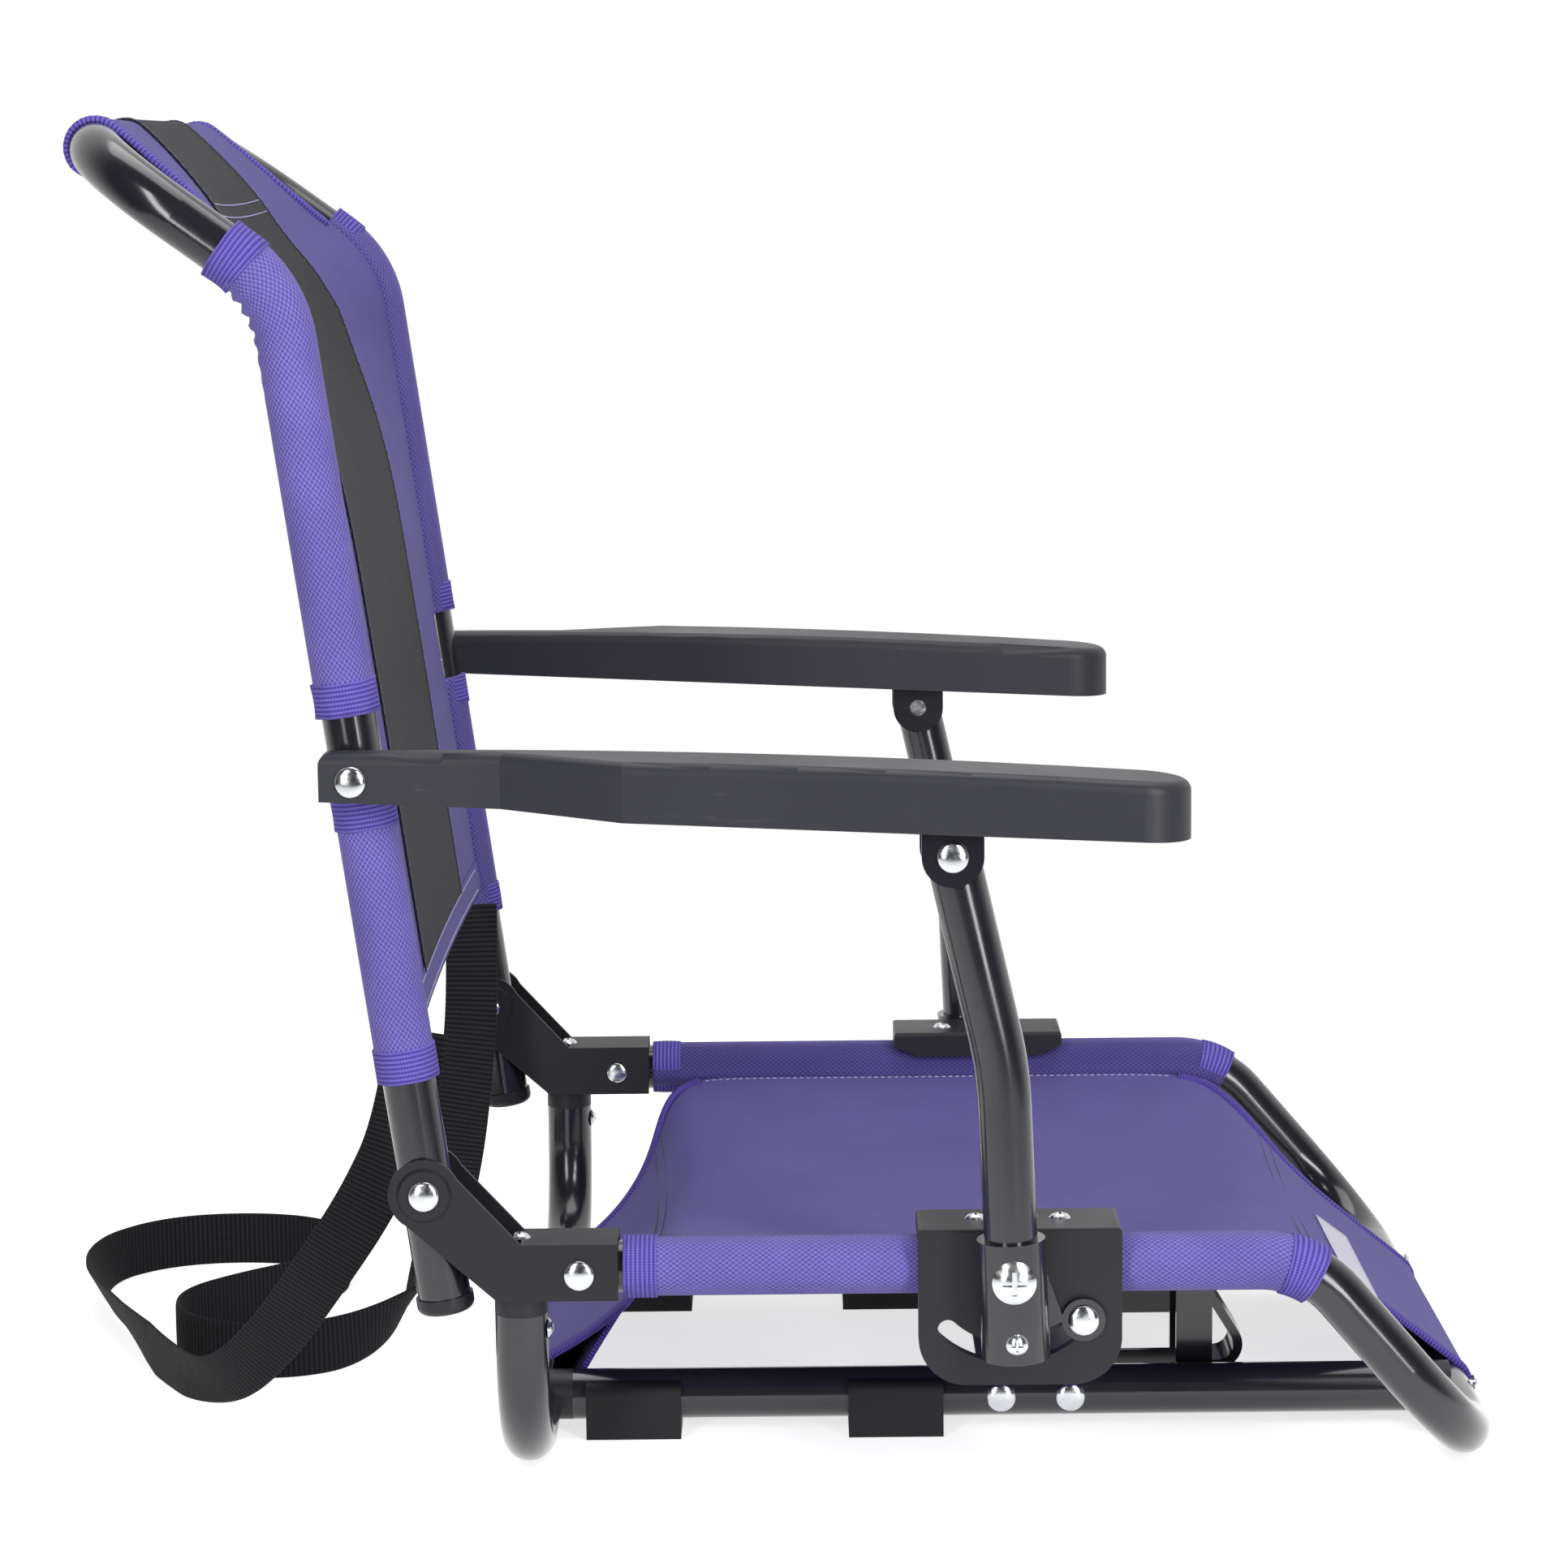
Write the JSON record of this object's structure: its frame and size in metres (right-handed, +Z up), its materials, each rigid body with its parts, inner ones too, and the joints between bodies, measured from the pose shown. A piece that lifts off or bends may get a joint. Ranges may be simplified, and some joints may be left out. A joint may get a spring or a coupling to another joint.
{
  "type": "stadium seat",
  "caption": "Folding stadium seat with bent tube frame, purple woven slings, moulded arms on a parallel linkage, slotted side brackets, runners with grip pads and a carry strap.",
  "frame": {"origin": "on the floor under the middle of the seat's length and width", "axes": "+X towards the seat's front, +Y to the sitter's left, +Z up"},
  "size_m": [0.6474, 0.482, 0.5742],
  "materials": {
    "black_frame": "semi-gloss powder coat",
    "moulded_black": "satin moulded",
    "arm_plastic": "satin moulded, slightly scuffed",
    "grip_rubber": "matt",
    "purple_cloth": "plain woven polyester",
    "charcoal_cloth": "fine ribbed weave",
    "webbing": "ribbed polypropylene webbing",
    "zinc": "bright zinc plate"
  },
  "bodies": {
    "seat": {"back_pivot_rivets": "zinc", "bracket_screws": "zinc", "hinge_rivets": "zinc", "hinge_screws": "zinc", "hook_bar": "black_frame", "hook_bar_rivets": "zinc", "left_grip_pads": "grip_rubber", "left_hinge_bracket": "black_frame", "left_leg_saddle": "moulded_black", "left_runner_plugs": "moulded_black", "left_runner_tube": "black_frame", "left_slot_bracket": "moulded_black", "left_support_pivot_screw": "zinc", "leg_screws": "zinc", "rear_leg_tube": "black_frame", "right_grip_pads": "grip_rubber", "right_hinge_bracket": "black_frame", "right_leg_saddle": "moulded_black", "right_runner_plugs": "moulded_black", "right_runner_tube": "black_frame", "right_slot_bracket": "moulded_black", "right_support_pivot_screw": "zinc", "runner_screws": "zinc", "seat_frame_tube": "black_frame", "seat_sling": "purple_cloth"},
    "back": {"arm_pivot_rivets": "zinc", "arm_washers": "zinc", "back_center_panel": "charcoal_cloth", "back_frame_tube": "black_frame", "back_hem": "purple_cloth", "carry_strap": "webbing", "left_back_sling": "purple_cloth", "left_back_tube_cap": "moulded_black", "right_back_sling": "purple_cloth", "right_back_tube_cap": "moulded_black"},
    "left_arm": {"left_arm_clevis": "black_frame", "left_armrest": "arm_plastic", "left_clevis_rivet": "zinc", "left_clevis_screws": "zinc"},
    "right_arm": {"right_arm_clevis": "black_frame", "right_armrest": "arm_plastic", "right_clevis_rivet": "zinc", "right_clevis_screws": "zinc"},
    "left_support": {"left_guide_rivet": "zinc", "left_sleeve_screw": "zinc", "left_support_sleeve": "black_frame", "left_support_tube": "black_frame"},
    "right_support": {"right_guide_rivet": "zinc", "right_sleeve_screw": "zinc", "right_support_sleeve": "black_frame", "right_support_tube": "black_frame"},
    "bench_hook": {"hook_rod": "black_frame", "left_bench_hook": "black_frame", "right_bench_hook": "black_frame"}
  },
  "joints": [
    {"name": "back_fold", "type": "hinge", "parent": "seat", "child": "back", "pos_m": [-0.15575, 0, 0.1335], "axis": [0, 1, 0], "range_deg": [0, 95]},
    {"name": "left_arm_turn", "type": "hinge", "parent": "back", "child": "left_arm", "pos_m": [-0.17975, 0, 0.3085], "axis": [0, 1, 0], "range_deg": [-95, 0]},
    {"name": "left_support_turn", "type": "hinge", "parent": "seat", "child": "left_support", "pos_m": [0.08545, 0, 0.1035], "axis": [0, 1, 0], "range_deg": [0, 95]},
    {"name": "right_arm_turn", "type": "hinge", "parent": "back", "child": "right_arm", "pos_m": [-0.17975, 0, 0.3085], "axis": [0, 1, 0], "range_deg": [-95, 0]},
    {"name": "right_support_turn", "type": "hinge", "parent": "seat", "child": "right_support", "pos_m": [0.08545, 0, 0.1035], "axis": [0, 1, 0], "range_deg": [0, 95]},
    {"name": "hook_swing", "type": "hinge", "parent": "seat", "child": "bench_hook", "pos_m": [0.17345, 0, 0.06], "axis": [0, 1, 0], "range_deg": [-60, 0]}
  ],
  "couplings": [
    {"joint": "left_arm_turn", "follows": "back_fold", "ratio": -1},
    {"joint": "left_support_turn", "follows": "back_fold", "ratio": 1},
    {"joint": "right_arm_turn", "follows": "back_fold", "ratio": -1},
    {"joint": "right_support_turn", "follows": "back_fold", "ratio": 1}
  ]
}
